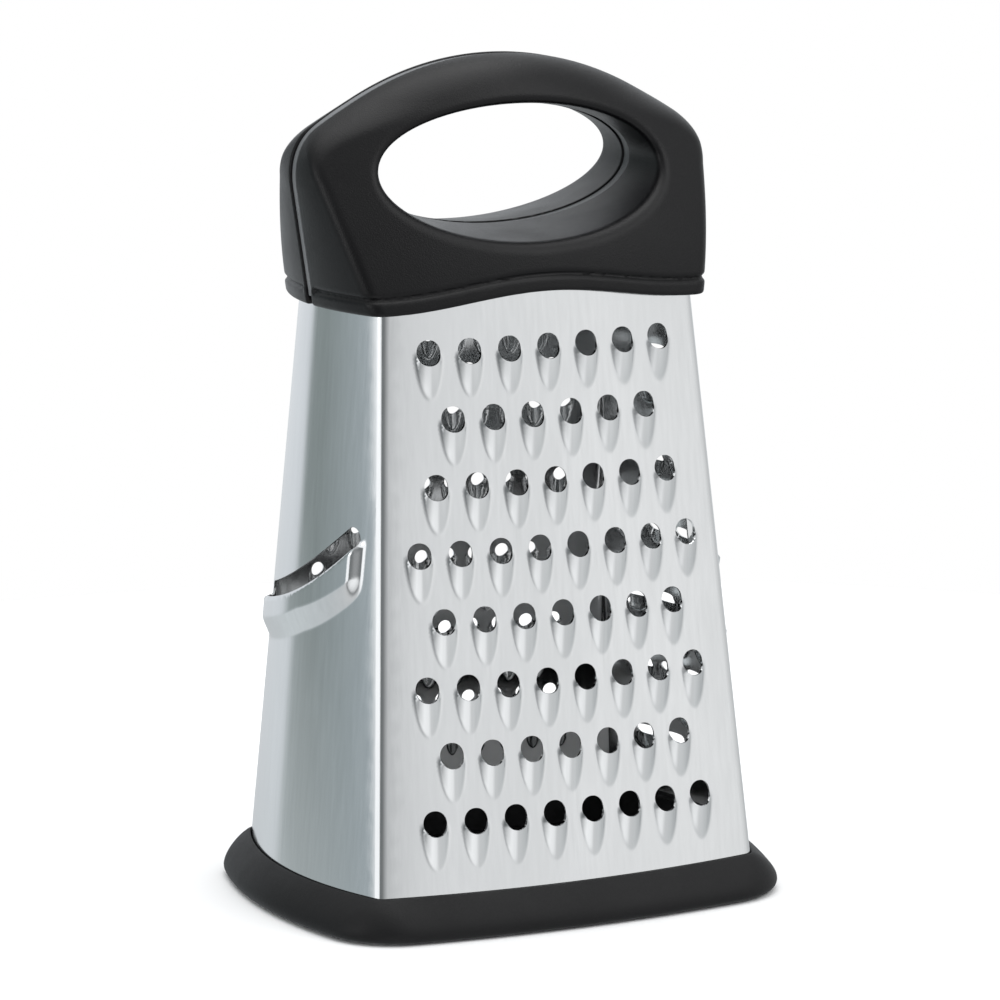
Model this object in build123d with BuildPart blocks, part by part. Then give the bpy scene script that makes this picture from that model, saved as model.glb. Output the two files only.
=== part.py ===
from build123d import *
import os
from math import sqrt, atan2, cos, sin, pi

os.makedirs("parts", exist_ok=True)

# Driving dimensions, millimetres.  Origin: centre of the footprint on the
# table, +Z up, coarse face towards -Y, slicer side towards -X.
SHEET_T = 0.5              # stainless sheet thickness
SHEET_Z0, SHEET_Z1 = 1.3, 166.0
CORNER_R = 3.6             # outer bend radius of the sheet corners
HOLE_PITCH = 11.0          # coarse holes, along a row
ROW_PITCH = 17.24          # coarse rows, up the face
ROW_Z0 = 29.2              # lowest coarse row
ROW_COUNTS = [8, 7, 8, 7, 8, 7, 6, 7]
HOLE_RX, HOLE_RZ = 3.15, 3.3
LAP_W = 7.0                # inner lap of the seams
MED_R, MED_PITCH, MED_ROW = 1.9, 8.0, 10.4
FINE_W, FINE_H, FINE_PITCH, FINE_ROW = 8.6, 3.2, 12.6, 10.0
RING_H = 10.8              # where the steel leaves the base ring
RING_OUT = 6.2             # ring outside the steel at the table
RING_CORNER = 21.7
HANDLE_Z0 = 159.5
ARCH_TOP = 223.5
CORE_T = 3.0               # middle plate between the two handle shells
WALL = 2.6                 # handle shell wall


def plan(z):
    """Half widths, bulges of the outer steel surface at a height."""
    return (54.67 - 0.065 * z, 44.45 - 0.109 * z, 5.70 - 0.007 * z, 9.36 - 0.018 * z)


def ring_points(wa, wb, sf, ss, rc, d):
    """Tangent points and arc middles of a four-arc rounded plan, moved in by d.
    Order: front right, front middle, front left, corner, side ... by quadrant."""
    ra = (wa * wa + sf * sf) / (2 * sf)
    rb = (wb * wb + ss * ss) / (2 * ss)
    cy = -(wb + sf) + ra
    cx = -(wa + ss) + rb
    a1, b1 = ra - rc, rb - rc
    dx, dy = cx, -cy
    dist = sqrt(dx * dx + dy * dy)
    t = (a1 * a1 - b1 * b1 + dist * dist) / (2 * dist)
    h = sqrt(max(a1 * a1 - t * t, 0))
    ex, ey = dx / dist, dy / dist
    cands = [(t * ex - s * h * ey, cy + t * ey + s * h * ex) for s in (-1, 1)]
    px, py = min(cands, key=lambda q: q[0] + q[1])
    ux, uy = px / a1, (py - cy) / a1
    vx, vy = (px - cx) / b1, py / b1
    mx, my = ux + vx, uy + vy
    m = sqrt(mx * mx + my * my)
    fa = (ux * (ra - d), cy + uy * (ra - d))
    mid = (px + mx / m * (rc - d), py + my / m * (rc - d))
    fb = (cx + vx * (rb - d), vy * (rb - d))
    return fa, mid, fb, (0.0, -(wb + sf) + d), (-(wa + ss) + d, 0.0)


def closed_plan(z, wa, wb, sf, ss, rc, d=0.0):
    fa, cm, fb, fm, sm = ring_points(wa, wb, sf, ss, rc, d)
    with BuildSketch(Plane.XY.offset(z)) as s:
        with BuildLine():
            ThreePointArc((-fa[0], fa[1]), fm, fa)
            ThreePointArc(fa, cm, fb)
            ThreePointArc(fb, sm, (fb[0], -fb[1]))
            ThreePointArc((fb[0], -fb[1]), (cm[0], -cm[1]), (fa[0], -fa[1]))
            ThreePointArc((fa[0], -fa[1]), (fm[0], -fm[1]), (-fa[0], -fa[1]))
            ThreePointArc((-fa[0], -fa[1]), (-cm[0], -cm[1]), (-fb[0], -fb[1]))
            ThreePointArc((-fb[0], -fb[1]), (-sm[0], -sm[1]), (-fb[0], fb[1]))
            ThreePointArc((-fb[0], fb[1]), (-cm[0], cm[1]), (-fa[0], fa[1]))
        make_face()
    return s.sketch.faces()[0]


def l_sheet(z, sign):
    """Closed section of one bent sheet: one wide face and one narrow face,
    the bend between them, and half a corner at each free end.
    sign 1 is the front and left, -1 the rear and right."""
    wa, wb, sf, ss = plan(z)
    o = ring_points(wa, wb, sf, ss, CORNER_R, 0.0)
    i = ring_points(wa, wb, sf, ss, CORNER_R, SHEET_T)
    k = sign
    gap = 0.08
    def P(p, fx=1, fy=1):
        return (k * fx * p[0], k * fy * p[1])
    def start(q):                      # free end at the mirrored front corner
        return P((-q[0][0] - gap, q[0][1]))
    with BuildSketch(Plane.XY.offset(z)) as s:
        with BuildLine():
            ThreePointArc(P(o[0], -1), P(o[3]), P(o[0]))
            ThreePointArc(P(o[0]), P(o[1]), P(o[2]))
            ThreePointArc(P(o[2]), P(o[4]), P(o[2], 1, -1))
            ThreePointArc(P(o[2], 1, -1), P(o[1], 1, -1), P(o[0], 1, -1))
            Line(P(o[0], 1, -1), P(i[0], 1, -1))
            ThreePointArc(P(i[0], 1, -1), P(i[1], 1, -1), P(i[2], 1, -1))
            ThreePointArc(P(i[2], 1, -1), P(i[4]), P(i[2]))
            ThreePointArc(P(i[2]), P(i[1]), P(i[0]))
            ThreePointArc(P(i[0]), P(i[3]), P(i[0], -1))
            Line(P(i[0], -1), P(o[0], -1))
        make_face()
    return s.sketch.faces()[0]


# ---- front and left sheet: coarse holes and the slicer slot --------------
coarse = []
for r, n in enumerate(ROW_COUNTS):
    z = ROW_Z0 + r * ROW_PITCH
    for c in range(n):
        coarse.append(((c - (n - 1) / 2) * HOLE_PITCH * 0.997, z))

with BuildPart() as front_left_sheet:
    loft(sections=[l_sheet(SHEET_Z0, 1), l_sheet(SHEET_Z1, 1)], ruled=True)
    with BuildSketch(Plane.XZ.offset(60)):
        with Locations(*coarse):
            Ellipse(HOLE_RX, HOLE_RZ)
    extrude(amount=-48, mode=Mode.SUBTRACT)
    # slicer: a sloping slot across the left side
    with BuildSketch(Plane.YZ.offset(-75)):
        with BuildLine():
            Spline((-25.3, 99.4), (-16.8, 92.9), (-8.8, 88.3), (1.4, 84.0), (12.2, 80.9), (27.0, 77.9))
            ThreePointArc((27.0, 77.9), (29.4, 79.6), (27.6, 82.0))
            Spline((27.6, 82.0), (16.1, 84.9), (6.2, 88.3), (-1.1, 91.3), (-8.9, 95.4), (-15.3, 99.4), (-22.3, 104.5))
            ThreePointArc((-22.3, 104.5), (-26.4, 103.4), (-25.3, 99.4))
        make_face()
    extrude(amount=50, mode=Mode.SUBTRACT)
front_left_sheet.part.label = "front_left_sheet"
export_step(front_left_sheet.part, "parts/front_left_sheet.step")

# ---- rear and right sheet: medium holes and small slots ------------------
medium = []
for r in range(12):
    z = 30.0 + r * MED_ROW
    half = plan(z)[0] - 10.5
    n = int(2 * half / MED_PITCH) + 1
    if (n + r) % 2 == 0:
        n -= 1
    for c in range(n):
        medium.append(((c - (n - 1) / 2) * MED_PITCH, z))
fine = []
for r in range(12):
    z = 30.0 + r * FINE_ROW
    half = plan(z)[1] - 9.0
    n = max(1, int((2 * half) / FINE_PITCH) + (0 if r % 2 else 1))
    if (n + r) % 2 == 0:
        n -= 1
    for c in range(n):
        fine.append(((c - (n - 1) / 2) * FINE_PITCH, z))

with BuildPart() as rear_right_sheet:
    loft(sections=[l_sheet(SHEET_Z0, -1), l_sheet(SHEET_Z1, -1)], ruled=True)
    with BuildSketch(Plane.XZ.offset(-60)):
        with Locations(*medium):
            Circle(MED_R)
    extrude(amount=48, mode=Mode.SUBTRACT)
    with BuildSketch(Plane.YZ.offset(75)):
        with Locations(*fine):
            SlotOverall(FINE_W, FINE_H)
    extrude(amount=-50, mode=Mode.SUBTRACT)
rear_right_sheet.part.label = "rear_right_sheet"
export_step(rear_right_sheet.part, "parts/rear_right_sheet.step")


# ---- seam straps inside the two lapped corners ----------------------------
def strap_section(z, sign):
    wa, wb, sf, ss = plan(z)
    o = ring_points(wa, wb, sf, ss, CORNER_R, SHEET_T + 0.03)
    i = ring_points(wa, wb, sf, ss, CORNER_R, 2 * SHEET_T + 0.03)
    ra = (wa * wa + sf * sf) / (2 * sf)
    cy = -(wb + sf) + ra
    rb = (wb * wb + ss * ss) / (2 * ss)
    cx = -(wa + ss) + rb
    def on_front(q, along):
        a = atan2(q[0][0], -(q[0][1] - cy)) + along / ra
        r = sqrt(q[0][0] ** 2 + (q[0][1] - cy) ** 2)
        return (r * sin(a), cy - r * cos(a))
    def on_side(q, along):
        a = atan2(q[2][1], -(q[2][0] - cx)) + along / rb
        r = sqrt((q[2][0] - cx) ** 2 + q[2][1] ** 2)
        return (cx - r * cos(a), r * sin(a))
    def P(p):
        return (-sign * p[0], sign * p[1])
    with BuildSketch(Plane.XY.offset(z)) as s:
        with BuildLine():
            ThreePointArc(P(on_front(o, LAP_W)), P(on_front(o, LAP_W / 2)), P(o[0]))
            ThreePointArc(P(o[0]), P(o[1]), P(o[2]))
            ThreePointArc(P(o[2]), P(on_side(o, LAP_W / 2)), P(on_side(o, LAP_W)))
            Line(P(on_side(o, LAP_W)), P(on_side(i, LAP_W)))
            ThreePointArc(P(on_side(i, LAP_W)), P(on_side(i, LAP_W / 2)), P(i[2]))
            ThreePointArc(P(i[2]), P(i[1]), P(i[0]))
            ThreePointArc(P(i[0]), P(on_front(i, LAP_W / 2)), P(on_front(i, LAP_W)))
            Line(P(on_front(i, LAP_W)), P(on_front(o, LAP_W)))
        make_face()
    return s.sketch.faces()[0]


with BuildPart() as seam_strap_front_right:
    loft(sections=[strap_section(14.0, 1), strap_section(155.0, 1)], ruled=True)
seam_strap_front_right.part.label = "seam_strap_front_right"
export_step(seam_strap_front_right.part, "parts/seam_strap_front_right.step")

with BuildPart() as seam_strap_rear_left:
    loft(sections=[strap_section(14.0, -1), strap_section(155.0, -1)], ruled=True)
seam_strap_rear_left.part.label = "seam_strap_rear_left"
export_step(seam_strap_rear_left.part, "parts/seam_strap_rear_left.step")

# ---- base: rigid inner frame and the soft outer ring ----------------------
def steel_plan(z, d, rc=CORNER_R):
    wa, wb, sf, ss = plan(z)
    return closed_plan(z, wa, wb, sf, ss, rc, d)


with BuildPart() as base_frame:
    # inner wall that backs the steel, with a shelf under its lower edge
    loft(sections=[steel_plan(1.2, SHEET_T + 0.05), steel_plan(12.0, SHEET_T + 0.05)], ruled=True)
    loft(sections=[steel_plan(1.1, SHEET_T + 2.0), steel_plan(12.2, SHEET_T + 2.0)], ruled=True, mode=Mode.SUBTRACT)
base_frame.part.label = "base_frame"
export_step(base_frame.part, "parts/base_frame.step")

with BuildPart() as base_grip_ring:
    wa, wb, sf, ss = plan(0)
    ring_foot = closed_plan(0.0, wa + 4.4, wb + 4.4, sf, ss, RING_CORNER - 1.5)
    ring_wide = closed_plan(2.6, wa + RING_OUT, wb + RING_OUT, sf, ss, RING_CORNER)
    ring_waist = closed_plan(7.0, wa + 5.0, wb + 5.0, sf, ss, 16.0)
    wt, ht, ft, st = plan(RING_H)
    ring_top = closed_plan(RING_H, wt + 0.9, ht + 0.9, ft, st, 4.5)
    loft(sections=[ring_foot, ring_wide], ruled=True)
    loft(sections=[ring_wide, ring_waist], ruled=True)
    loft(sections=[ring_waist, ring_top], ruled=True)
    # pocket for the steel's lower edge and the inner frame
    loft(sections=[steel_plan(1.0, -0.05), steel_plan(12.5, -0.05)], ruled=True, mode=Mode.SUBTRACT)
    # the open middle, leaving a lip under the frame
    loft(sections=[steel_plan(-1.0, SHEET_T + 2.0), steel_plan(1.1, SHEET_T + 2.0)], ruled=True, mode=Mode.SUBTRACT)
base_grip_ring.part.label = "base_grip_ring"
export_step(base_grip_ring.part, "parts/base_grip_ring.step")

# ---- handle ---------------------------------------------------------------
# (height, half width at the corner, half depth at the corner, front bulge, side bulge, corner radius)
HANDLE_SECTIONS = [
    (159.5, 46.8, 29.8, 4.7, 6.0, 7.0),
    (166.0, 48.0, 29.2, 4.8, 5.8, 9.0),
    (178.0, 50.2, 24.6, 5.6, 5.2, 9.0),
    (196.0, 54.0, 15.0, 7.0, 4.2, 8.0),
    (226.0, 54.5, 8.0, 8.0, 4.0, 6.0),
]


def handle_mass(d, z_lo):
    loft(sections=[closed_plan(z_lo if z == 159.5 else z, wa, wb, sf, ss, rc, d)
                   for (z, wa, wb, sf, ss, rc) in HANDLE_SECTIONS])


def arch_outline(d, plane):
    """Front outline of the handle, moved in by d."""
    with BuildSketch(plane) as s:
        with BuildLine():
            Line((-(52.9 - d), 150.0), (-(53.4 - d), 163.0))
            Spline((-(53.4 - d), 163.0), (-(56.3 - d), 184.0), (-(58.3 - d), 197.0),
                   (-(57.4 - d), 202.6 - d), (-(49.5 - d), 208.0 - d), (-38.0, 214.9 - d),
                   (-26.6, 219.7 - d), (-13.0, 222.7 - d), (0, ARCH_TOP - d),
                   (13.0, 222.7 - d), (26.6, 219.7 - d), (38.0, 214.9 - d),
                   (49.5 - d, 208.0 - d), (57.4 - d, 202.6 - d), (58.3 - d, 197.0),
                   (56.3 - d, 184.0), (53.4 - d, 163.0))
            Line((53.4 - d, 163.0), (52.9 - d, 150.0))
            Line((52.9 - d, 150.0), (-(52.9 - d), 150.0))
        make_face()
    return s.sketch.faces()[0]


def side_outline(d):
    """Side outline, a wedge that rounds over the top of the arch."""
    with BuildSketch(Plane.YZ.offset(-70)) as s:
        with BuildLine():
            Line((-(38 - d), 150.0), (-(36.0 - d), 166.0))
            Spline((-(36.0 - d), 166.0), (-(30.5 - d), 180.0), (-(22.0 - d), 198.0),
                   (-(15.5 - d), 213.0), (-8.5, 221.3 - d), (0, ARCH_TOP + 0.3 - d),
                   (8.5, 221.3 - d), (15.5 - d, 213.0), (22.0 - d, 198.0),
                   (30.5 - d, 180.0), (36.0 - d, 166.0))
            Line((36.0 - d, 166.0), (38 - d, 150.0))
            Line((38 - d, 150.0), (-(38 - d), 150.0))
        make_face()
    return s.sketch.faces()[0]


def hole_ellipse(off, z, rx, rz):
    with BuildSketch(Plane.XZ.offset(off)) as s:
        with Locations((0, z)):
            Ellipse(rx, rz)
    return s.sketch.faces()[0]


def finger_hole(grow):
    """Finger hole, narrowest at the middle plane and flaring to both rims."""
    for sgn in (-1, 1):
        waist = hole_ellipse(0.0, 193.6, 38.2 + grow, 15.6 + grow)
        rim = hole_ellipse(sgn * 22.0, 193.4, 41.5 + grow, 17.6 + grow)
        loft(sections=[waist, rim])
        extrude(rim, amount=20, dir=(0, -sgn, 0))


with BuildPart() as hole_tool:
    finger_hole(0)
with BuildPart() as hole_keep:
    finger_hole(WALL)

with BuildPart() as handle_solid:
    handle_mass(0, HANDLE_Z0)
    extrude(arch_outline(0, Plane.XZ.offset(-60)), amount=120, mode=Mode.INTERSECT)
    extrude(side_outline(0), amount=140, mode=Mode.INTERSECT)
with BuildPart() as handle_cavity:
    handle_mass(WALL, HANDLE_Z0 - 3)
    extrude(arch_outline(WALL, Plane.XZ.offset(-60)), amount=120, mode=Mode.INTERSECT)
    extrude(side_outline(WALL), amount=140, mode=Mode.INTERSECT)
    add(hole_keep.part, mode=Mode.SUBTRACT)

SCREWS = [(-30.0, 11.0), (30.0, 11.0), (-30.0, -11.0), (30.0, -11.0)]


def handle_shell(sgn):
    add(handle_solid.part)
    add(handle_cavity.part, mode=Mode.SUBTRACT)
    add(hole_tool.part, mode=Mode.SUBTRACT)
    # pocket for the top edge of the steel
    loft(sections=[steel_plan(150.0, -0.06), steel_plan(166.3, -0.06)], ruled=True, mode=Mode.SUBTRACT)
    # screw posts, down to the top insert
    for (x, y) in SCREWS:
        if y * sgn > 0:
            with Locations((x, y, 166.6)):
                Cylinder(3.4, 13.4, align=(Align.CENTER, Align.CENTER, Align.MIN))
            with Locations((x, y, 166.0)):
                Cylinder(1.32, 11.2, align=(Align.CENTER, Align.CENTER, Align.MIN), mode=Mode.SUBTRACT)
    # keep one side of the middle plate
    with Locations((0, sgn * (CORE_T / 2 + 0.02 + 40), 190)):
        Box(200, 80, 120, mode=Mode.INTERSECT)


with BuildPart() as handle_front_shell:
    handle_shell(-1)
handle_front_shell.part.label = "handle_front_shell"
export_step(handle_front_shell.part, "parts/handle_front_shell.step")

with BuildPart() as handle_rear_shell:
    handle_shell(1)
handle_rear_shell.part.label = "handle_rear_shell"
export_step(handle_rear_shell.part, "parts/handle_rear_shell.step")

# ---- middle plate between the shells, set back from their outer edge ------
with BuildPart() as handle_core:
    extrude(arch_outline(0.7, Plane.XZ.offset(-CORE_T / 2)), amount=CORE_T)
    with BuildSketch(Plane.XZ.offset(-20)):
        with Locations((0, 193.6)):
            Ellipse(38.2 + 0.4, 15.6 + 0.4)
    extrude(amount=40, mode=Mode.SUBTRACT)
    with BuildSketch(Plane.XY.offset(140)):
        Rectangle(200, 50)
    extrude(amount=166.6 - 140, mode=Mode.SUBTRACT)
    for s in (-1, 1):
        with BuildSketch(Plane.XY.offset(159.8)):
            with Locations((s * 51.5, 0)):
                Rectangle(1.1, CORE_T)
        extrude(amount=9)
handle_core.part.label = "handle_core"
export_step(handle_core.part, "parts/handle_core.step")

# ---- top insert inside the steel, clamped by the screws -------------------
with BuildPart() as top_insert:
    loft(sections=[steel_plan(156.5, SHEET_T + 0.05), steel_plan(166.5, SHEET_T + 0.05)], ruled=True)
    loft(sections=[steel_plan(156.0, SHEET_T + 2.2), steel_plan(164.0, SHEET_T + 2.2)], ruled=True, mode=Mode.SUBTRACT)
    with BuildSketch(Plane.XY.offset(155.0)):
        with Locations(*SCREWS):
            Circle(1.65)
    extrude(amount=14, mode=Mode.SUBTRACT)
top_insert.part.label = "top_insert"
export_step(top_insert.part, "parts/top_insert.step")

# ---- four screws up through the insert ------------------------------------
with BuildPart() as handle_screws:
    with BuildSketch(Plane.XY.offset(162.0)):
        with Locations(*SCREWS):
            Circle(2.9)
    extrude(amount=1.98)
    with BuildSketch(Plane.XY.offset(163.0)):
        with Locations(*SCREWS):
            Circle(1.3)
    extrude(amount=12.5)
    with BuildSketch(Plane.XY.offset(162.0)):
        with Locations(*SCREWS):
            Rectangle(3.2, 0.8)
            Rectangle(0.8, 3.2)
    extrude(amount=1.1, mode=Mode.SUBTRACT)
handle_screws.part.label = "handle_screws"
export_step(handle_screws.part, "parts/handle_screws.step")
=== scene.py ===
import math
import bpy
import numpy as np
from mathutils import Matrix, Vector
from mathutils.geometry import delaunay_2d_cdt


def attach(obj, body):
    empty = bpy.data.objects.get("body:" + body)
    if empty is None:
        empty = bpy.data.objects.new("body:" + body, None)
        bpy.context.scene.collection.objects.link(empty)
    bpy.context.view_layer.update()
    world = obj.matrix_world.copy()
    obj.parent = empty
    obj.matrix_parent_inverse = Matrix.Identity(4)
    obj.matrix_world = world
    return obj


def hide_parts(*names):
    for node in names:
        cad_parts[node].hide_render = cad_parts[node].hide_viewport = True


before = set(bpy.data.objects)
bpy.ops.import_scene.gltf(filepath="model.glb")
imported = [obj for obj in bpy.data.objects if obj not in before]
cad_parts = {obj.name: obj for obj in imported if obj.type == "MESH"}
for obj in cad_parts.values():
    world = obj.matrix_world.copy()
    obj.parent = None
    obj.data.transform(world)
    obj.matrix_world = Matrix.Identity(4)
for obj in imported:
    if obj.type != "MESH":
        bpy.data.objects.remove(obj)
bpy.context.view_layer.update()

MM = 0.001
scene = bpy.context.scene

# ------------------------------------------------------------------ plan of the steel body (mm)
RC = 3.6
T = 0.5


def plan(z):
    return (54.67 - 0.065 * z, 44.45 - 0.109 * z, 5.70 - 0.007 * z, 9.36 - 0.018 * z)


def arcs(z, grow=0.0, rc=RC, base=None):
    """Circle data of the four-arc plan at height z: radii, centres, corner centre and tangent points."""
    wa, wb, sf, ss = base if base else plan(z)
    wa, wb = wa + grow, wb + grow
    ra = (wa * wa + sf * sf) / (2 * sf)
    rb = (wb * wb + ss * ss) / (2 * ss)
    cy = -(wb + sf) + ra
    cx = -(wa + ss) + rb
    a1, b1 = ra - rc, rb - rc
    d = math.hypot(cx, cy)
    t = (a1 * a1 - b1 * b1 + d * d) / (2 * d)
    h = math.sqrt(max(a1 * a1 - t * t, 0))
    ex, ey = cx / d, -cy / d
    best = min(((t * ex - s * h * ey, cy + t * ey + s * h * ex) for s in (-1, 1)), key=lambda q: q[0] + q[1])
    px, py = best
    u = (px / a1, (py - cy) / a1)
    v = ((px - cx) / b1, py / b1)
    fa = (u[0] * ra, cy + u[1] * ra)
    fb = (cx + v[0] * rb, v[1] * rb)
    return dict(ra=ra, rb=rb, cy=cy, cx=cx, p=best, u=u, v=v, fa=fa, fb=fb, rc=rc)


Z0, Z1 = 1.4, 165.8
LEVELS = np.linspace(Z0, Z1, 43)
_A0, _A1 = arcs(Z0), arcs(Z1)


def lerp_z(a, b, z):
    return a + (b - a) * (z - Z0) / (Z1 - Z0)


def wide_half(z):
    return abs(lerp_z(_A0["fa"][0], _A1["fa"][0], z))


def side_half(z):
    return abs(lerp_z(_A0["fb"][1], _A1["fb"][1], z))


def front_surface(s, z):
    """Point and outward normal of the front face (towards -Y) at x = s."""
    wa, wb, sf, ss = 54.67 - 0.065 * z, 44.45 - 0.109 * z, 5.70 - 0.007 * z, 9.36 - 0.018 * z
    ra = (wa * wa + sf * sf) / (2 * sf)
    cy = -(wb + sf) + ra
    r = np.sqrt(ra * ra - s * s)
    n = np.stack([s / ra, -r / ra, np.full_like(s, 0.112)], -1)
    n /= np.linalg.norm(n, axis=-1, keepdims=True)
    return np.stack([s, cy - r, z], -1), n


def left_surface(s, z):
    """Point and outward normal of the left face (towards -X) at y = s."""
    wa, wb, sf, ss = 54.67 - 0.065 * z, 44.45 - 0.109 * z, 5.70 - 0.007 * z, 9.36 - 0.018 * z
    rb = (wb * wb + ss * ss) / (2 * ss)
    cx = -(wa + ss) + rb
    r = np.sqrt(rb * rb - s * s)
    n = np.stack([-r / rb, s / rb, np.full_like(s, 0.08)], -1)
    n /= np.linalg.norm(n, axis=-1, keepdims=True)
    return np.stack([cx - r, s, z], -1), n


# ------------------------------------------------------------------ flat meshing helpers
def inside_poly(pts, poly):
    x, y = pts[:, 0], pts[:, 1]
    c = np.zeros(len(pts), bool)
    j = len(poly) - 1
    for i in range(len(poly)):
        xi, yi = poly[i]
        xj, yj = poly[j]
        hit = ((yi > y) != (yj > y)) & (x < (xj - xi) * (y - yi) / (yj - yi + 1e-12) + xi)
        c ^= hit
        j = i
    return c


def poly_dist(pts, poly):
    a = np.asarray(poly)
    b = np.roll(a, -1, 0)
    best = np.full(len(pts), 1e9)
    for p, q in zip(a, b):
        d = q - p
        t = np.clip(((pts - p) @ d) / (d @ d + 1e-12), 0, 1)
        best = np.minimum(best, np.hypot(*(pts - p - t[:, None] * d).T))
    return best


def cdt(outer, holes, interior):
    """Triangles of a flat region with holes, worked out on a slightly bent copy so that straight runs stay clear."""
    loops = [np.asarray(l, float) for l in [outer] + list(holes)]
    lo, hi = loops[0].min(0), loops[0].max(0)
    c, r = (lo + hi) / 2, (hi - lo) / 2
    bend = 0.075 * r.min()

    def warp(p):
        q = (p - c) / r
        return np.stack([p[:, 0] + bend * q[:, 1] ** 2, p[:, 1] + bend * q[:, 0] ** 2], -1)

    edges, n0 = [], 0
    for l in loops:
        edges += [(n0 + i, n0 + (i + 1) % len(l)) for i in range(len(l))]
        n0 += len(l)
    flat = np.concatenate(loops + [np.asarray(interior, float).reshape(-1, 2)])
    bent = warp(flat)
    w, e, f, ov, _, _ = delaunay_2d_cdt([Vector(p) for p in bent.tolist()], edges, [], 0, 1e-5)
    v = flat[[o[0] for o in ov]]
    w = bent[[o[0] for o in ov]]
    f = np.array([t for t in f if len(t) == 3], int)
    m = w[f].mean(1)
    keep = inside_poly(m, warp(loops[0]))
    for h in loops[1:]:
        keep &= ~inside_poly(m, warp(h))
    f = f[keep]
    a = w[f]
    area = (a[:, 1, 0] - a[:, 0, 0]) * (a[:, 2, 1] - a[:, 0, 1]) - (a[:, 1, 1] - a[:, 0, 1]) * (a[:, 2, 0] - a[:, 0, 0])
    f[area < 0] = f[area < 0][:, ::-1]
    return v, f


def grid(x0, x1, y0, y1, step, stagger=True):
    out = []
    ny = max(1, int(round((y1 - y0) / (step * 0.9))))
    nx = max(1, int(round((x1 - x0) / step)))
    for j in range(ny + 1):
        off = 0.5 * (j % 2) if stagger else 0.0
        for i in range(nx + 1):
            x = x0 + (x1 - x0) * (i + off) / nx
            if x <= x1 + 1e-9:
                out.append((x, y0 + (y1 - y0) * j / ny))
    return np.array(out)


def superellipse(rx, rz, n, count, flat=0.0):
    th = (np.arange(count) + 0.5) / count * 2 * np.pi
    c, s = np.cos(th), np.sin(th)
    return np.stack([rx * np.sign(c) * abs(c) ** (2 / n), rz * np.sign(s) * abs(s) ** (2 / n)], -1)


def tooth_height(u, v, w, top, length, H, p=1.9, q=0.85):
    """Raised thumb below a hole: steep beside the hole, fading out downwards."""
    s = np.clip((top - v) / length, 0, 1)
    half = w * (1 - 0.20 * s) * np.sqrt(np.clip(1 - s ** 3.0, 1e-4, 1))
    cross = np.clip(1 - abs(u / half) ** p, 0, 1) ** q
    rise = np.clip(s / 0.21, 0, 1)
    rise = rise * rise * (3 - 2 * rise)
    fall = (1 - s) ** 0.85
    return H * rise * fall * cross


def soft_foot(h, r=0.35):
    """Softens the crease where a raised shape meets the sheet."""
    return np.where(h < r, h * h / (2 * r) + 0 * h, h - r / 2) * (h > 0)


def make_cell(hw, z_lo, z_hi, hole, step, height):
    """One stamped cell: rectangle with a hole, as points, triangles, heights and its boundary loop."""
    nx = max(2, int(round(2 * hw / 1.2)))
    nz = max(2, int(round((z_hi - z_lo) / 1.3)))
    loop = [(-hw + 2 * hw * i / nx, z_lo) for i in range(nx)]
    loop += [(hw, z_lo + (z_hi - z_lo) * i / nz) for i in range(nz)]
    loop += [(hw - 2 * hw * i / nx, z_hi) for i in range(nx)]
    loop += [(-hw, z_hi - (z_hi - z_lo) * i / nz) for i in range(nz)]
    g = grid(-hw + step * 0.7, hw - step * 0.7, z_lo + step * 0.7, z_hi - step * 0.7, step)
    g = g[~inside_poly(g, hole)]
    g = g[poly_dist(g, hole) > step * 0.55]
    v, f = cdt(np.array(loop), [hole], g)
    return v, f, height(v[:, 0], v[:, 1]), np.array(loop)


def sheet_face(surface, half, cells, cell, holes=(), extra=None, extra_height=None, step=3.6):
    """A whole face: coarse region around the stamped cells, and the cells themselves."""
    hw = half(np.array([Z0, Z1]))
    left = [(-half(z), z) for z in LEVELS[::-1]]
    right = [(half(z), z) for z in LEVELS]
    n = 24
    bottom = [(-hw[0] + 2 * hw[0] * i / n, Z0) for i in range(1, n)]
    top = [(hw[1] - 2 * hw[1] * i / n, Z1) for i in range(1, n)]
    outer = np.array([left[-1]] + bottom + right + top + left[:-1], float)
    P, F, H = [], [], []
    loops = []
    if cell is not None:
        cv, cf, ch, cl = cell
        for (x, z) in cells:
            loops.append(cl + np.array([x, z]))
    loops += [np.asarray(h) for h in holes]
    g = grid(-hw[0], hw[0], Z0 + 2, Z1 - 2, step)
    g = g[abs(g[:, 0]) < half(g[:, 1]) - 1.6]
    if extra is not None:
        ex_pts, ex_box = extra
        m = (g[:, 0] > ex_box[0]) & (g[:, 0] < ex_box[1]) & (g[:, 1] > ex_box[2]) & (g[:, 1] < ex_box[3])
        g = np.concatenate([g[~m], ex_pts])
    for l in loops:
        lo, hi = l.min(0) - 0.9, l.max(0) + 0.9
        m = (g[:, 0] > lo[0]) & (g[:, 0] < hi[0]) & (g[:, 1] > lo[1]) & (g[:, 1] < hi[1])
        idx = np.where(m)[0]
        if len(idx):
            bad = inside_poly(g[idx], l) | (poly_dist(g[idx], l) < 0.5)
            keep = np.ones(len(g), bool)
            keep[idx[bad]] = False
            g = g[keep]
    v, f = cdt(outer, loops, g)
    h = np.zeros(len(v)) if extra_height is None else extra_height(v[:, 0], v[:, 1])
    P.append(v); F.append(f); H.append(h)
    n0 = len(v)
    if cell is not None:
        for (x, z) in cells:
            P.append(cv + np.array([x, z])); F.append(cf + n0); H.append(ch)
            n0 += len(cv)
    P, F, H = np.concatenate(P), np.concatenate(F), np.concatenate(H)
    pos, nor = surface(P[:, 0], P[:, 1])
    return pos + nor * H[:, None], F


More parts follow.
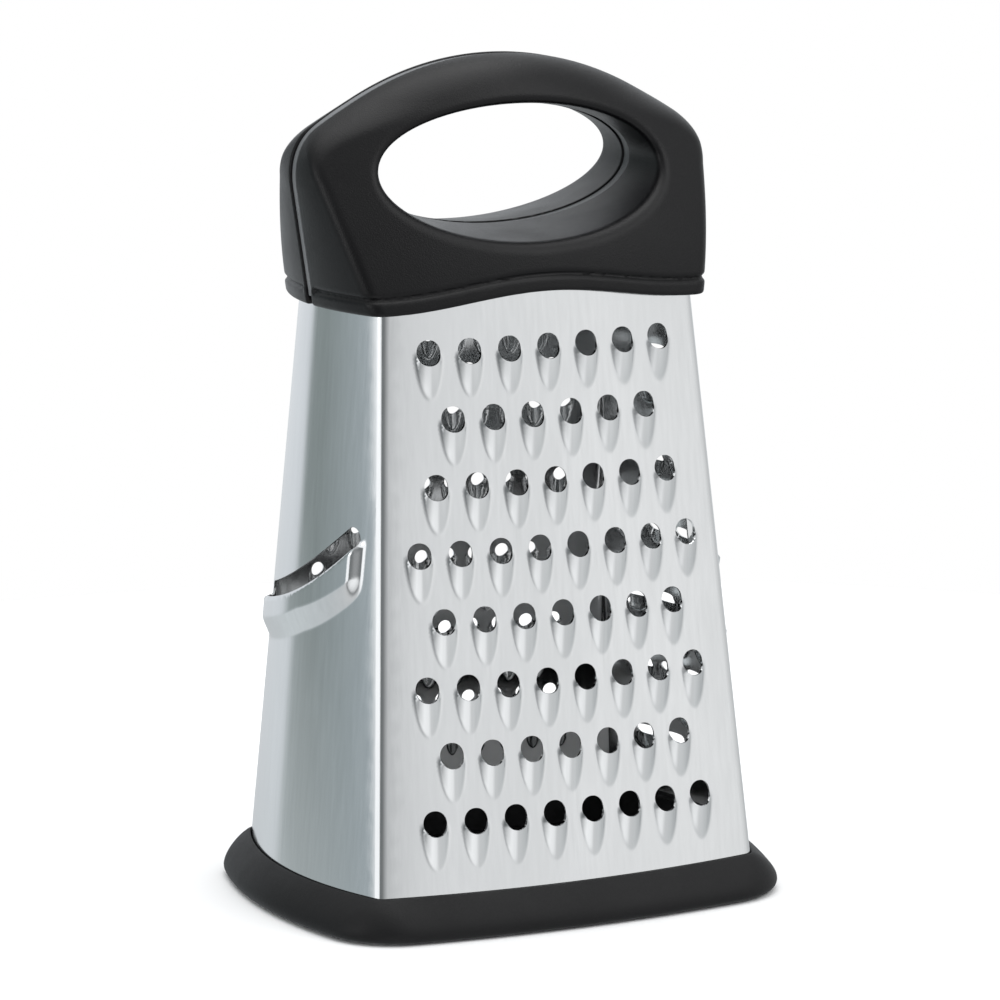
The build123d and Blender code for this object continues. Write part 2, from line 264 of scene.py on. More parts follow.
def corner_strip(n=8):
    """The front left bend between the two faces."""
    P = []
    for z in LEVELS:
        a0, a1 = _A0, _A1
        A = arcs(z)
        fa = np.array([-wide_half(z), 0]); fb = np.array([0, -side_half(z)])
        p0, _ = front_surface(np.array([-wide_half(z)]), np.array([z]))
        p1, _ = left_surface(np.array([-side_half(z)]), np.array([z]))
        t0 = math.atan2(A["u"][1], A["u"][0]); t1 = math.atan2(A["v"][1], A["v"][0])
        if t1 > t0:
            t1 -= 2 * math.pi
        row = []
        for i in range(n + 1):
            t = t0 + (t1 - t0) * i / n
            q = np.array([A["p"][0] + RC * math.cos(t), A["p"][1] + RC * math.sin(t), z])
            if i == 0:
                q = p0[0]
            if i == n:
                q = p1[0]
            row.append(q)
        P.append(row)
    P = np.array(P)
    F = []
    m = n + 1
    for j in range(len(LEVELS) - 1):
        for i in range(n):
            a = j * m + i
            F.append((a, a + m, a + m + 1, a + 1))
    return P.reshape(-1, 3), F


def new_object(name, verts, faces, merge=None):
    me = bpy.data.meshes.new(name)
    me.from_pydata([tuple(p) for p in (np.asarray(verts) * MM).tolist()], [], [tuple(int(i) for i in f) for f in faces])
    me.update()
    ob = bpy.data.objects.new(name, me)
    scene.collection.objects.link(ob)
    if merge:
        import bmesh
        bm = bmesh.new()
        bm.from_mesh(me)
        bmesh.ops.remove_doubles(bm, verts=bm.verts, dist=merge * MM)
        bmesh.ops.recalc_face_normals(bm, faces=bm.faces)
        bm.to_mesh(me)
        bm.free()
        me.update()
    return ob


def mesh_array(name, verts, quads):
    """Quick mesh from arrays of points (mm) and four-sided faces."""
    me = bpy.data.meshes.new(name)
    me.vertices.add(len(verts))
    me.vertices.foreach_set("co", (verts * MM).astype(np.float32).ravel())
    me.loops.add(len(quads) * 4)
    me.loops.foreach_set("vertex_index", quads.astype(np.int32).ravel())
    me.polygons.add(len(quads))
    me.polygons.foreach_set("loop_start", (np.arange(len(quads)) * 4).astype(np.int32))
    me.update(calc_edges=True)
    me.validate()
    ob = bpy.data.objects.new(name, me)
    scene.collection.objects.link(ob)
    return ob


def apply_modifiers(ob):
    dg = bpy.context.evaluated_depsgraph_get()
    me = bpy.data.meshes.new_from_object(ob.evaluated_get(dg))
    ob.modifiers.clear()
    ob.data = me
    return ob


def shade(ob, angle=35.0):
    """Smooth shading, with edges sharper than the angle kept crisp."""
    me = ob.data
    me.polygons.foreach_set("use_smooth", np.ones(len(me.polygons), bool))
    import bmesh
    bm = bmesh.new()
    bm.from_mesh(me)
    lim = math.radians(angle)
    for e in bm.edges:
        e.smooth = not (len(e.link_faces) == 2 and e.calc_face_angle(0.0) > lim)
    bm.to_mesh(me)
    bm.free()
    me.update()
    return ob


# ------------------------------------------------------------------ stamped cells
coarse_hole = superellipse(3.15, 3.35, 2.12, 40)


def coarse_h(u, v):
    h = tooth_height(u, v, 3.95, 0.9, 13.8, 2.35)
    return soft_foot(h, 0.45)


coarse_cell = make_cell(4.45, -13.2, 3.95, coarse_hole, 0.55, coarse_h)

medium_hole = superellipse(1.95, 2.0, 2.0, 22)


def medium_h(u, v):
    return soft_foot(tooth_height(u, v, 2.4, 0.2, 7.0, 1.35), 0.2)


medium_cell = make_cell(3.1, -7.0, 2.6, medium_hole, 0.55, medium_h)

fine_hole = superellipse(4.3, 1.6, 3.2, 30)


def fine_h(u, v):
    s = np.clip((0.4 - v) / 6.0, 0, 1)
    half = 4.9 * np.sqrt(np.clip(1 - s ** 2.6, 1e-4, 1))
    cross = np.clip(1 - abs(u / half) ** 3.0, 0, 1) ** 0.8
    rise = np.clip(s / 0.2, 0, 1)
    return soft_foot(1.7 * rise * rise * (3 - 2 * rise) * (1 - s) ** 0.8 * cross, 0.2)


fine_cell = make_cell(5.4, -6.0, 2.4, fine_hole, 0.6, fine_h)

ROW_PITCH, ROW_Z0, ROWS = 17.24, 29.2, [8, 7, 8, 7, 8, 7, 6, 7]
coarse_at = [((c - (n - 1) / 2) * 10.967, ROW_Z0 + r * ROW_PITCH) for r, n in enumerate(ROWS) for c in range(n)]
medium_at = []
for r in range(12):
    z = 30.0 + r * 10.4
    half = plan(z)[0] - 10.5
    n = int(2 * half / 8.0) + 1
    if (n + r) % 2 == 0:
        n -= 1
    medium_at += [((c - (n - 1) / 2) * 8.0, z) for c in range(n)]
fine_at = []
for r in range(12):
    z = 30.0 + r * 10.0
    half = plan(z)[1] - 9.0
    n = max(1, int((2 * half) / 12.6) + (0 if r % 2 else 1))
    if (n + r) % 2 == 0:
        n -= 1
    fine_at += [((c - (n - 1) / 2) * 12.6, z) for c in range(n)]

# ------------------------------------------------------------------ slicer on the left face
SL = np.array([(-25.3, 99.4), (-16.8, 92.9), (-8.8, 88.3), (1.4, 84.0), (12.2, 80.9), (27.0, 77.9)])
SU = np.array([(27.6, 82.0), (16.1, 84.9), (6.2, 88.3), (-1.1, 91.3), (-8.9, 95.4), (-15.3, 99.4), (-22.3, 104.5)])
_cl = np.polyfit(SL[:, 0], SL[:, 1], 3)
_cu = np.polyfit(SU[:, 0], SU[:, 1], 3)
ys = np.linspace(-25.3, 27.0, 40)
low = np.stack([ys, np.polyval(_cl, ys)], -1)
yu = np.linspace(27.6, -22.6, 38)
upp = np.stack([yu, np.polyval(_cu, yu)], -1)


def cap(a, b, bulge, n):
    a, b = np.array(a), np.array(b)
    m, d = (a + b) / 2, (b - a) / 2
    nrm = np.array([d[1], -d[0]])
    t = np.linspace(0, np.pi, n + 2)[1:-1]
    return np.stack([m - d * math.cos(x) + nrm * bulge * math.sin(x) for x in t])


slot = np.concatenate([low, cap(low[-1], upp[0], 0.95, 6), upp, cap(upp[-1], low[0], 0.85, 7)])


def slicer_h(y, z):
    zl = np.polyval(_cl, np.clip(y, -27.5, 30.0))
    d = zl - z
    k = np.clip((-y - 4) / 20.0, 0, 1)
    d1 = 5.6 + 3.0 * k
    d2 = 11.3 + 2.2 * k
    t = np.clip((d - d1) / (d2 - d1), 0, 1)
    down = 1 - (0.55 * t + 0.45 * t * t * (3 - 2 * t))
    tf = np.clip((y + 28.3) / 3.3, 0, 1)
    tr = np.clip((31.3 - y) / 3.3, 0, 1)
    side = tf * tf * (3 - 2 * tf) * tr * tr * (3 - 2 * tr)
    up = np.clip((d + 0.9) / 1.2, 0, 1)
    return 2.5 * down * side * up


ex = grid(-31.0, 31.6, 58.0, 112.0, 0.62)
left_face = sheet_face(left_surface, side_half, [], None, holes=[slot], extra=(ex, (-31.6, 32.2, 57.3, 112.7)), extra_height=slicer_h)
front_face = sheet_face(front_surface, wide_half, coarse_at, coarse_cell)
back_face = sheet_face(front_surface, wide_half, medium_at, medium_cell)
right_face = sheet_face(left_surface, side_half, fine_at, fine_cell)


def join_faces(wide, side):
    strip = corner_strip()
    far = strip[0] * np.array([1, -1, 1])
    V = np.concatenate([wide[0], side[0], strip[0], far])
    F = [tuple(f) for f in wide[1]] + [tuple(f + len(wide[0])) for f in side[1]]
    off = len(wide[0]) + len(side[0])
    F += [tuple(i + off for i in f) for f in strip[1]]
    off += len(strip[0])
    F += [tuple(i + off for i in f) for f in strip[1]]
    return V, F


def sheet_piece(name, wide, side, turn):
    V, F = join_faces(wide, side)
    if turn:
        V = V * np.array([-1, -1, 1])
    ob = new_object(name, V, F, merge=0.012)
    # outward direction: away from the axis
    me = ob.data
    import bmesh
    bm = bmesh.new(); bm.from_mesh(me)
    tot = sum((f.normal.x * f.calc_center_median().x + f.normal.y * f.calc_center_median().y) * f.calc_area() for f in bm.faces)
    if tot < 0:
        bmesh.ops.reverse_faces(bm, faces=bm.faces)
    bm.to_mesh(me); bm.free()
    md = ob.modifiers.new("thick", "SOLIDIFY")
    md.thickness = T * MM
    md.offset = -1.0
    md.use_rim = True
    apply_modifiers(ob)
    shade(ob, 38)
    return ob


sheet_fl = sheet_piece("steel_front_left", front_face, left_face, False)
sheet_rr = sheet_piece("steel_rear_right", back_face, right_face, True)

# ------------------------------------------------------------------ handle, as a smooth field
ZC = 194.5
_yc = np.polyfit([158, 165, 177, 193, 209, 222], [34.5, 33.4, 30.2, 24.3, 17.6, 12.4], 3)
_dk = np.polyfit([158, 177, 190, 198, 212], [4.6, 6.4, 9.6, 12.0, 13.0], 2)
_xk = np.polyfit([158, 177, 197.6, 215], [46.4, 51.8, 56.0, 58.0], 2)
_cs = np.polyfit([158, 177, 197.6, 215], [6.4, 3.6, 2.4, 2.0], 2)


def smax(a, b, k):
    h = np.clip(k - abs(a - b), 0, None) / k
    return np.maximum(a, b) + h * h * k * 0.25


def sstep(t):
    t = np.clip(t, 0, 1)
    return t * t * (3 - 2 * t)


def hole_field(x, y, z, grow=0.0):
    ay = abs(y)
    a = 38.8 + 1.7 * (ay / 20) ** 1.5 + grow
    b = 15.8 + 1.7 * (ay / 24) ** 1.5 + grow
    zz = z - ZC
    q = np.sqrt((x / a) ** 2 + (zz / b) ** 2) + 1e-6
    g = np.sqrt((x / a ** 2) ** 2 + (zz / b ** 2) ** 2) + 1e-6
    return (q - 1) * q / g


def collar_edge(x):
    return 159.9 + 4.3 * np.cos(np.clip(abs(x) / 46.0, 0, 1) * np.pi / 2) ** 2


def handle_outer(x, y, z, d=0.0):
    """Outer form of the handle, without its finger hole."""
    zc = np.clip(z, 150, 226)
    yk = np.polyval(_yc, zc)
    dk = np.polyval(_dk, zc)
    xk = np.polyval(_xk, zc)
    front = (abs(y) - (yk - dk * np.clip(x / xk, -1.3, 1.3) ** 2) + d) / 1.05
    side = abs(x) - (52.9 + 0.142 * (zc - 160.5) - np.polyval(_cs, zc) * np.clip(abs(y) / np.maximum(yk - dk + 0.5, 15.0), 0, 1.25) ** 2) + d
    top = np.sqrt(x ** 2 + (z - 137.5) ** 2) - 86.0 + d
    cap_ = smax(side, top, 8.0)
    return smax(front, cap_, 2.4 + 9.6 * sstep((z - 197) / 16))


def steel_field(x, y, z, grow):
    wa, wb, sf, ss = 54.67 - 0.065 * z, 44.45 - 0.109 * z, 5.70 - 0.007 * z, 9.36 - 0.018 * z
    f = abs(y) - (wb + sf * (1 - (x / wa) ** 2)) - grow
    s = abs(x) - (wa + ss * (1 - (y / wb) ** 2)) - grow
    return np.maximum(f, s)


def shell_field(x, y, z):
    outer = handle_outer(x, y, z)
    ze = collar_edge(x)
    groove = 0.8 * np.exp(-((z - ze - 4.2) / 0.68) ** 2) * sstep((abs(y) - 3.0) / 0.8)
    lip = -0.22 * (1 - sstep((z - ze - 4.2) / 1.2 + 0.5))
    solid = smax(outer + groove + lip, -hole_field(x, y, z), 3.0)
    solid = smax(solid, ze - z, 0.9)
    inner = np.maximum(handle_outer(x, y, z, 2.5), -hole_field(x, y, z, 2.5))
    pocket = np.maximum(steel_field(x, y, z, 0.12), z - 166.4)
    solid = np.maximum(solid, -np.minimum(inner, pocket))
    return smax(solid, y + 1.55, 0.7)


def surface_nets(field, lo, hi, h, project=4):
    nx, ny, nz = [int(round((hi[i] - lo[i]) / h)) + 1 for i in range(3)]
    X = (lo[0] + h * np.arange(nx))[:, None, None]
    Y = (lo[1] + h * np.arange(ny))[None, :, None]
    Zg = (lo[2] + h * np.arange(nz))[None, None, :]
    V = np.broadcast_to(field(X, Y, Zg), (nx, ny, nz)).astype(np.float32)
    S = V < 0
    corners = [(i, j, k) for i in (0, 1) for j in (0, 1) for k in (0, 1)]
    cnt = sum(S[i:nx - 1 + i, j:ny - 1 + j, k:nz - 1 + k].astype(np.int8) for i, j, k in corners)
    mask = (cnt > 0) & (cnt < 8)
    cells = np.argwhere(mask)
    idx = -np.ones(mask.shape, np.int64)
    idx[tuple(cells.T)] = np.arange(len(cells))
    acc = np.zeros((len(cells), 3)); num = np.zeros(len(cells))
    for ax in range(3):
        for a in (0, 1):
            for b in (0, 1):
                o = [0, 0, 0]
                other = [q for q in range(3) if q != ax]
                o[other[0]], o[other[1]] = a, b
                p = cells + np.array(o)
                q = p.copy(); q[:, ax] += 1
                va, vb = V[tuple(p.T)], V[tuple(q.T)]
                m = (va < 0) != (vb < 0)
                t = np.where(m, va / np.where(va == vb, 1, va - vb), 0)
                pos = p.astype(float); pos[:, ax] += t
                acc[m] += pos[m]; num[m] += 1
    P = acc / num[:, None] * h + np.array(lo)
    quads = []
    for ax in range(3):
        b, c = (ax + 1) % 3, (ax + 2) % 3
        sl0 = [slice(None)] * 3; sl1 = [slice(None)] * 3
        sl0[ax] = slice(0, -1); sl1[ax] = slice(1, None)
        s0, s1 = S[tuple(sl0)], S[tuple(sl1)]
        E = np.argwhere(s0 != s1)
        dims = np.array(mask.shape)
        ok = (E[:, b] > 0) & (E[:, c] > 0) & (E[:, b] < dims[b]) & (E[:, c] < dims[c])
        E = E[ok]
        def cell(db, dc):
            q = E.copy(); q[:, b] += db; q[:, c] += dc
            return idx[tuple(q.T)]
        Q = np.stack([cell(-1, -1), cell(0, -1), cell(0, 0), cell(-1, 0)], -1)
        flip = ~s0[tuple(E.T)]
        Q[flip] = Q[flip][:, ::-1]
        quads.append(Q)
    quads = np.concatenate(quads)
    quads = quads[(quads >= 0).all(1)]
    for _ in range(project):
        e = 0.05
        f0 = field(P[:, 0], P[:, 1], P[:, 2])
        g = np.stack([
            (field(P[:, 0] + e, P[:, 1], P[:, 2]) - field(P[:, 0] - e, P[:, 1], P[:, 2])) / (2 * e),
            (field(P[:, 0], P[:, 1] + e, P[:, 2]) - field(P[:, 0], P[:, 1] - e, P[:, 2])) / (2 * e),
            (field(P[:, 0], P[:, 1], P[:, 2] + e) - field(P[:, 0], P[:, 1], P[:, 2] - e)) / (2 * e)], -1)
        n2 = (g * g).sum(1) + 1e-6
        step = np.clip(f0 / n2, -0.3, 0.3)
        P = P - g * step[:, None] * 0.9
    return P, quads


GRID = 0.5
Pn, Qn = surface_nets(shell_field, (-61.0, -37.0, 158.0), (61.0, 0.5, 226.0), GRID)
shell_front = mesh_array("handle_front_half", Pn, Qn)
shell_rear = mesh_array("handle_rear_half", Pn * np.array([1, -1, 1]), Qn[:, ::-1])
for s in (shell_front, shell_rear):
    shade(s, 50)

# ------------------------------------------------------------------ middle plate
def core_ring():
    th = np.linspace(0, 2 * np.pi, 481)[:-1]
    dx, dz = np.cos(th), np.sin(th)
    lo, hi = np.full(len(th), 10.0), np.full(len(th), 90.0)
    for _ in range(40):
        r = (lo + hi) / 2
        x, z = r * dx, ZC + r * dz
        bottom = np.where(abs(x) < 50.9, 166.8, 160.3) - z
        f = np.maximum(handle_outer(x, 0 * x, z) + 0.55, bottom)
        inside = f < 0
        lo = np.where(inside, r, lo); hi = np.where(inside, hi, r)
    r = lo
    outer = np.stack([r * dx, ZC + r * dz], -1)
    a, b = 38.8 + 0.45, 15.8 + 0.45
    ri = 1 / np.sqrt((dx / a) ** 2 + (dz / b) ** 2)
    ri = np.minimum(ri, r - 1.0)
    inner = np.stack([ri * dx, ZC + ri * dz], -1)
    c = 0.25
    prof = []
    n = len(th)
    rad = np.stack([dx, dz], -1)
    rings = [(outer - rad * c, -1.5), (outer, -1.5 + c), (outer, 1.5 - c), (outer - rad * c, 1.5), (inner, 1.5), (inner, -1.5)]
    V = []
    for p, y in rings:
        V += [(q[0], y, q[1]) for q in p]
    m = len(rings)
    F = []
    for k in range(m):
        k2 = (k + 1) % m
        for i in range(n):
            j = (i + 1) % n
            F.append((k * n + i, k * n + j, k2 * n + j, k2 * n + i))
    return np.array(V), F


core = new_object("handle_middle_plate", *core_ring(), merge=0.0005)
shade(core, 30)

# ------------------------------------------------------------------ base ring
def ring_section():
    """(height, grow, corner radius) round the section, from the top inside edge outwards and under."""
    return [(10.75, 0.12, 3.75), (10.95, 0.45, 4.1), (10.7, 0.95, 4.8), (10.0, 1.75, 7.0), (8.8, 2.9, 10.0), (7.4, 4.0, 13.5), (5.9, 4.95, 16.5),
            (4.4, 5.65, 19.0), (3.1, 6.0, 20.6), (2.1, 6.0, 21.3), (1.2, 5.7, 21.3), (0.55, 5.15, 20.9), (0.15, 4.4, 20.3), (0.0, 3.5, 19.5),
            (0.0, 1.0, 15.0), (0.0, -1.2, 8.0), (0.1, -2.1, 4.0), (0.4, -2.4, 2.2), (1.1, -2.45, 2.0), (1.15, -1.2, 2.6), (1.15, 0.08, 3.6), (6.0, 0.1, 3.65)]


def plan_loop(z, grow, rc, nf=64, nc=16, ns=44, ref=0.0):
    """Points round the plan at a height, grown outwards."""
    wa, wb, sf, ss = plan(z)
    A = arcs(z, 0.0, rc, (wa + grow, wb + grow, sf, ss))
    a0 = math.atan2(A["fa"][1] - A["cy"], A["fa"][0])
    af = np.linspace(-math.pi - a0 if a0 < -math.pi / 2 else a0, a0, 3)
    # front arc from right to left tangent, then the left corner, the left arc ...
    half = abs(A["fa"][0])
    ph = math.asin(half / A["ra"])
    t = np.linspace(ph, -ph, nf + 1)[:-1]
    front = np.stack([A["ra"] * np.sin(t), A["cy"] - A["ra"] * np.cos(t)], -1)
    t0 = math.atan2(A["u"][1], A["u"][0]); t1 = math.atan2(A["v"][1], A["v"][0])
    if t1 > t0:
        t1 -= 2 * math.pi
    t = np.linspace(t0, t1, nc + 1)[:-1]
    c_fl = np.stack([A["p"][0] + rc * np.cos(t), A["p"][1] + rc * np.sin(t)], -1)
    hs = abs(A["fb"][1])
    ps = math.asin(hs / A["rb"])
    t = np.linspace(-ps, ps, ns + 1)[:-1]
    left = np.stack([A["cx"] - A["rb"] * np.cos(t), A["rb"] * np.sin(t)], -1)
    # rear left corner: mirror of the front left, backwards
    t = np.linspace(t1, t0, nc + 1)[:-1]
    c_rl = np.stack([A["p"][0] + rc * np.cos(t), -(A["p"][1] + rc * np.sin(t))], -1)
    half_loop = np.concatenate([front, c_fl, left, c_rl])
    return np.concatenate([half_loop, -half_loop])


def swept_ring(name, section, closed=True):
    loops = []
    for (z, g, rc) in section:
        p = plan_loop(z, g, rc)
        loops.append(np.column_stack([p, np.full(len(p), z)]))
    n = len(loops[0])
    V = np.concatenate(loops)
    F = []
    m = len(loops)
    for k in range(m if closed else m - 1):
        k2 = (k + 1) % m
        for i in range(n):
            j = (i + 1) % n
            F.append((k * n + i, k * n + j, k2 * n + j, k2 * n + i))
    ob = new_object(name, V, F, merge=0.0005)
    return ob


ring = swept_ring("base_grip", ring_section())
md = ring.modifiers.new("s", "SUBSURF"); md.levels = 1; md.render_levels = 1
apply_modifiers(ring)
shade(ring, 60)

# ------------------------------------------------------------------ materials
def material(name):
    m = bpy.data.materials.new(name)
    m.use_nodes = True
    nt = m.node_tree
    nt.nodes.clear()
    out = nt.nodes.new("ShaderNodeOutputMaterial")
    bs = nt.nodes.new("ShaderNodeBsdfPrincipled")
    nt.links.new(bs.outputs[0], out.inputs[0])
    return m, nt, bs


def node(nt, kind, **kw):
    n = nt.nodes.new(kind)
    for k, v in kw.items():
        setattr(n, k, v)
    return n


def noise(nt, coord, scale, detail=4.0, rough=0.5, mapping=None):
    src = coord
    if mapping is not None:
        mp = node(nt, "ShaderNodeMapping")
        mp.inputs["Scale"].default_value = mapping
        nt.links.new(coord, mp.inputs["Vector"])
        src = mp.outputs[0]
    n = node(nt, "ShaderNodeTexNoise")
    n.inputs["Scale"].default_value = scale
    n.inputs["Detail"].default_value = detail
    n.inputs["Roughness"].default_value = rough
    nt.links.new(src, n.inputs["Vector"])
    return n.outputs["Fac"]


def ramp(nt, fac, stops):
    r = node(nt, "ShaderNodeValToRGB")
    el = r.color_ramp.elements
    while len(el) < len(stops):
        el.new(0.5)
    for e, (p, c) in zip(el, stops):
        e.position = p
        e.color = c if len(c) == 4 else (*c, 1)
    nt.links.new(fac, r.inputs[0])
    return r.outputs[0]


def maprange(nt, fac, a, b, c, d):
    m = node(nt, "ShaderNodeMapRange")
    m.inputs[1].default_value, m.inputs[2].default_value = a, b
    m.inputs[3].default_value, m.inputs[4].default_value = c, d
    nt.links.new(fac, m.inputs[0])
    return m.outputs[0]


def mixf(nt, a, b, op="ADD", k=None):
    m = node(nt, "ShaderNodeMath", operation=op)
    nt.links.new(a, m.inputs[0])
    if k is None:
        nt.links.new(b, m.inputs[1])
    else:
        m.inputs[1].default_value = k
    return m.outputs[0]


def steel_material():
    m, nt, bs = material("brushed_stainless")
    tc = node(nt, "ShaderNodeTexCoord").outputs["Object"]
    fine = noise(nt, tc, 1.0, 3.0, 0.6, (2600, 2600, 26))
    mid = noise(nt, tc, 1.0, 4.0, 0.55, (700, 700, 6))
    broad = noise(nt, tc, 1.0, 2.0, 0.5, (34, 34, 9))
    smudge = noise(nt, tc, 22.0, 5.0, 0.6)
    col = ramp(nt, mixf(nt, mid, broad, "MULTIPLY"), [(0.08, (0.66, 0.67, 0.675)), (0.42, (0.725, 0.735, 0.74))])
    nt.links.new(col, bs.inputs["Base Color"])
    r1 = maprange(nt, mid, 0.3, 0.7, 0.085, 0.13)
    r2 = maprange(nt, smudge, 0.35, 0.75, -0.02, 0.06)
    nt.links.new(mixf(nt, r1, r2), bs.inputs["Roughness"])
    bs.inputs["Metallic"].default_value = 1.0
    bs.inputs["Anisotropic"].default_value = 0.35
    b1 = node(nt, "ShaderNodeBump"); b1.inputs["Strength"].default_value = 0.10; b1.inputs["Distance"].default_value = 0.00004
    nt.links.new(fine, b1.inputs["Height"])
    b2 = node(nt, "ShaderNodeBump"); b2.inputs["Strength"].default_value = 0.25; b2.inputs["Distance"].default_value = 0.0003
    nt.links.new(broad, b2.inputs["Height"])
    nt.links.new(b1.outputs[0], b2.inputs["Normal"])
    nt.links.new(b2.outputs[0], bs.inputs["Normal"])
    return m


def plastic_material(name, color, rough, grain=0.00006, tone=1.0, strength=0.5, scale=2600.0, spec=0.19):
    m, nt, bs = material(name)
    tc = node(nt, "ShaderNodeTexCoord").outputs["Object"]
    g1 = noise(nt, tc, scale, 3.0, 0.6)
    g2 = noise(nt, tc, 60.0, 4.0, 0.6)
    wear = noise(nt, tc, 14.0, 6.0, 0.65)
    lo = tuple(c * 0.85 for c in color); hi = tuple(min(1, c * 1.25) for c in color)
    nt.links.new(ramp(nt, wear, [(0.35, lo), (0.7, hi)]), bs.inputs["Base Color"])
    r1 = maprange(nt, g2, 0.3, 0.7, rough - 0.04, rough + 0.05)
    r2 = maprange(nt, g1, 0.3, 0.7, -0.03, 0.03)
    nt.links.new(mixf(nt, r1, r2), bs.inputs["Roughness"])
    b = node(nt, "ShaderNodeBump"); b.inputs["Strength"].default_value = strength; b.inputs["Distance"].default_value = grain
    nt.links.new(g1, b.inputs["Height"])
    nt.links.new(b.outputs[0], bs.inputs["Normal"])
    bs.inputs["Specular IOR Level"].default_value = spec
    return m


steel = steel_material()
handle_mat = plastic_material("satin_black_plastic", (0.0030, 0.0030, 0.0035), 0.33, grain=0.00010, strength=0.75)
core_mat = plastic_material("smooth_grey_plastic", (0.13, 0.135, 0.14), 0.30, 0.00002)
rubber = plastic_material("soft_black_rubber", (0.0065, 0.0065, 0.007), 0.52, 0.00009, strength=0.6, scale=1900.0)
inner_mat = plastic_material("inner_black_plastic", (0.014, 0.014, 0.015), 0.5)
screw_mat = plastic_material("plated_screw", (0.55, 0.55, 0.56), 0.3, 0.00002)
screw_mat.node_tree.nodes["Principled BSDF"].inputs["Metallic"].default_value = 1.0


def give(ob, m):
    ob.data.materials.clear()
    ob.data.materials.append(m)


for ob, m, sl, nodes in [
        (sheet_fl, steel, "steel", ["front_left_sheet"]),
        (sheet_rr, steel, "steel", ["rear_right_sheet"]),
        (shell_front, handle_mat, "handle_plastic", ["handle_front_shell"]),
        (shell_rear, handle_mat, "handle_plastic", ["handle_rear_shell"]),
        (core, core_mat, "core_plastic", ["handle_core"]),
        (ring, rubber, "soft_base", ["base_grip_ring"])]:
    give(ob, m)
    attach(ob, "root")
    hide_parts(*nodes)
for n, m in [("seam_strap_front_right", steel), ("seam_strap_rear_left", steel), ("base_frame", inner_mat),
             ("top_insert", inner_mat), ("handle_screws", screw_mat)]:
    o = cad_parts[n]
    if not o.material_slots:
        o.data.materials.append(m)
    for s in o.material_slots:
        s.link = "DATA"
        s.material = m

# ------------------------------------------------------------------ camera
az, el, roll = np.radians([-25.08, 10.277, -0.409])
back = np.array([np.sin(az) * np.cos(el), -np.cos(az) * np.cos(el), np.sin(el)])
right = np.array([np.cos(az), np.sin(az), 0.0])
up = np.cross(back, right)
rt = right * np.cos(roll) + up * np.sin(roll)
ut = -right * np.sin(roll) + up * np.cos(roll)
cam_data = bpy.data.cameras.new("camera")
cam_data.lens = 180.0
cam_data.sensor_width = 36.0
cam_data.sensor_height = 36.0
cam_data.clip_start = 0.05
cam = bpy.data.objects.new("camera", cam_data)
scene.collection.objects.link(cam)
C = (rt * 0.036 + ut * 9.3 + back * 122.789) * 0.011
M = Matrix([[rt[0], ut[0], back[0], C[0]], [rt[1], ut[1], back[1], C[1]], [rt[2], ut[2], back[2], C[2]], [0, 0, 0, 1]])
cam.matrix_world = M
scene.camera = cam

# ------------------------------------------------------------------ floor, light
fm, fnt, fbs = material("pale_floor")
tc = node(fnt, "ShaderNodeTexCoord").outputs["Object"]
fn = noise(fnt, tc, 3.0, 3.0, 0.5)
fnt.links.new(ramp(fnt, fn, [(0.3, (0.88, 0.88, 0.88)), (0.7, (0.91, 0.91, 0.91))]), fbs.inputs["Base Color"])
fbs.inputs["Roughness"].default_value = 0.9
for fname, frad, fz in [("floor", 420, -0.30), ("floor_under", 0, -0.05)]:
    if frad:
        fr = np.array([(frad * math.cos(t), frad * math.sin(t), fz) for t in np.linspace(0, 2 * math.pi, 129)[:-1]])
    else:
        fr = plan_loop(0.0, 2.5, 12.0)
        fr = np.column_stack([fr, np.full(len(fr), fz)])
    floor = new_object(fname, fr, [tuple(range(len(fr)))])
    floor.data.materials.append(fm)
    floor.visible_glossy = fname != "floor"

world = bpy.data.worlds.new("studio")
scene.world = world
world.use_nodes = True
wt = world.node_tree
wt.nodes.clear()
wo = wt.nodes.new("ShaderNodeOutputWorld")
bg = wt.nodes.new("ShaderNodeBackground")
wt.links.new(bg.outputs[0], wo.inputs[0])
wc = wt.nodes.new("ShaderNodeTexCoord").outputs["Generated"]


sep = wt.nodes.new("ShaderNodeSeparateXYZ")
wt.links.new(wc, sep.inputs[0])
at = wt.nodes.new("ShaderNodeMath"); at.operation = "ARCTAN2"
wt.links.new(sep.outputs[1], at.inputs[0])
wt.links.new(sep.outputs[0], at.inputs[1])
turn = maprange(wt, at.outputs[0], -math.pi, math.pi, 0.0, 1.0)
STUDIO = [(-180, (1.30, 1.32, 1.34)), (-156, (1.30, 1.32, 1.34)), (-148, (0.20, 0.215, 0.22)), (-128, (0.24, 0.25, 0.255)),
          (-104, (0.52, 0.53, 0.54)), (-94, (0.62, 0.63, 0.64)), (-85, (0.93, 0.94, 0.95)), (-50, (1.04, 1.045, 1.05)),
          (-25, (0.90, 0.91, 0.915)), (15, (0.68, 0.69, 0.70)),
          (55, (0.80, 0.83, 0.86)), (100, (0.84, 0.88, 0.92)), (108, (0.80, 0.84, 0.88)), (113, (0.30, 0.345, 0.345)),
          (126, (0.29, 0.335, 0.335)), (146, (0.38, 0.435, 0.45)), (160, (0.44, 0.50, 0.53)),
          (167, (1.30, 1.32, 1.34)), (180, (1.30, 1.32, 1.34))]
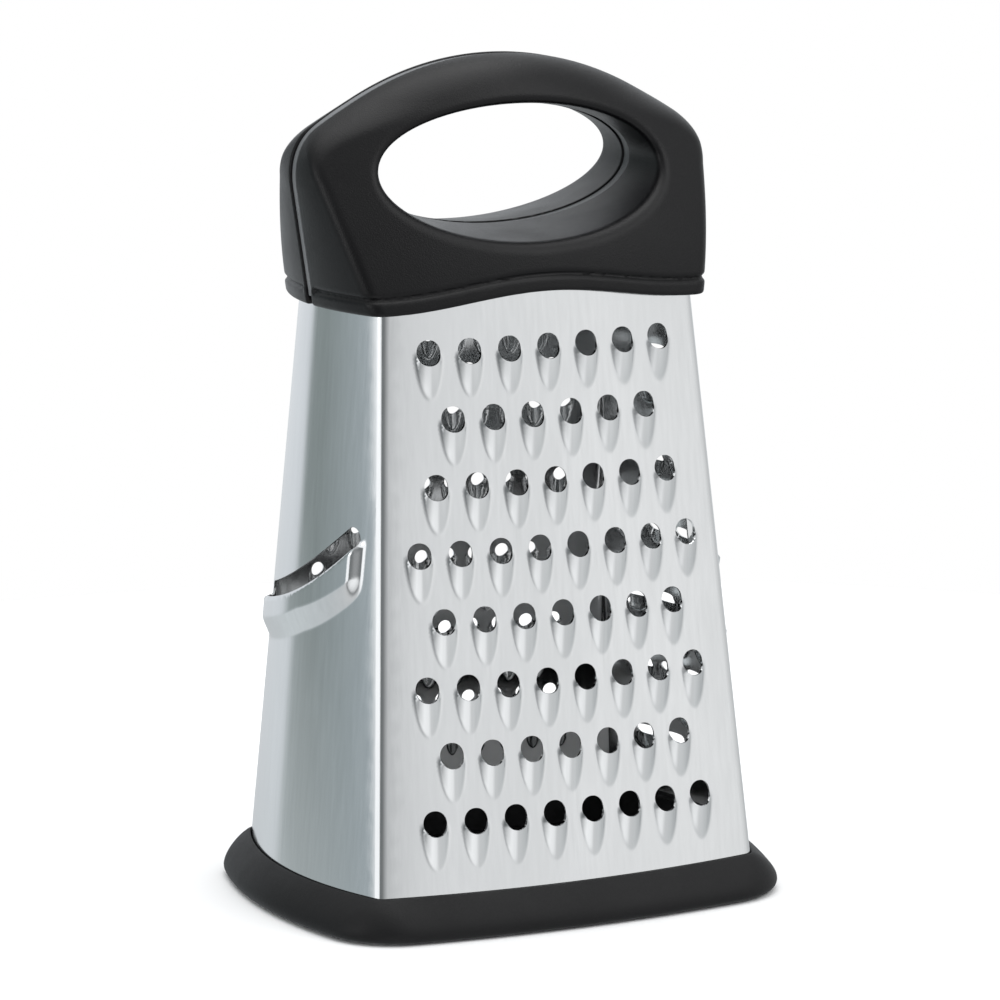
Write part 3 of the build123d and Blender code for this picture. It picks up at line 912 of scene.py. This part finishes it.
LOW = [(-180, (0.75, 0.76, 0.77)), (-158, (0.30, 0.31, 0.315)), (-142, (0.85, 0.86, 0.87)), (-116, (1.22, 1.23, 1.24)), (-92, (1.12, 1.13, 1.14)),
       (-74, (0.80, 0.81, 0.82)), (-35, (0.72, 0.74, 0.75)), (0, (0.55, 0.57, 0.58)), (80, (0.58, 0.61, 0.63)), (114, (0.72, 0.77, 0.79)), (150, (0.66, 0.70, 0.72)), (180, (0.75, 0.76, 0.77))]
level = ramp(wt, turn, [((p + 180) / 360, c) for p, c in STUDIO])
below = ramp(wt, turn, [((p + 180) / 360, c) for p, c in LOW])
bm_ = wt.nodes.new("ShaderNodeMix"); bm_.data_type = "RGBA"
wt.links.new(maprange(wt, sep.outputs[2], -0.11, -0.26, 0.0, 1.0), bm_.inputs[0])
wt.links.new(level, bm_.inputs[6])
wt.links.new(below, bm_.inputs[7])
lev = bm_.outputs[2]
high = ramp(wt, maprange(wt, sep.outputs[2], 0.30, 0.75, 0.0, 1.0), [(0.0, (0, 0, 0)), (1.0, (1, 1, 1))])
hm = wt.nodes.new("ShaderNodeMix"); hm.data_type = "RGBA"
wt.links.new(high, hm.inputs[0])
wt.links.new(lev, hm.inputs[6])
hm.inputs[7].default_value = (0.9, 0.91, 0.92, 1)
lp = wt.nodes.new("ShaderNodeLightPath").outputs["Is Camera Ray"]
mx = wt.nodes.new("ShaderNodeMix"); mx.data_type = "RGBA"
wt.links.new(lp, mx.inputs[0])
wt.links.new(hm.outputs[2], mx.inputs[6])
mx.inputs[7].default_value = (1, 1, 1, 1)
wt.links.new(mx.outputs[2], bg.inputs[0])
bg.inputs[1].default_value = 1.0
scene.view_settings.view_transform = "Standard"
scene.view_settings.look = "None"


def area(name, loc, target, size, power, size_y=None):
    l = bpy.data.lights.new(name, "AREA")
    l.energy = power
    l.size = size
    if size_y:
        l.shape = "RECTANGLE"
        l.size_y = size_y
    o = bpy.data.objects.new(name, l)
    scene.collection.objects.link(o)
    o.location = loc
    o.rotation_euler = (Vector(target) - Vector(loc)).to_track_quat("-Z", "Y").to_euler()
    return o


area("key", (0.9, -1.3, 1.5), (0, 0, 0.1), 1.2, 10)
area("top", (0.0, 0.1, 1.6), (0, 0, 0.1), 1.4, 14)
area("edge", (-1.5, -0.12, 0.42), (0, 0, 0.17), 0.30, 1.6)
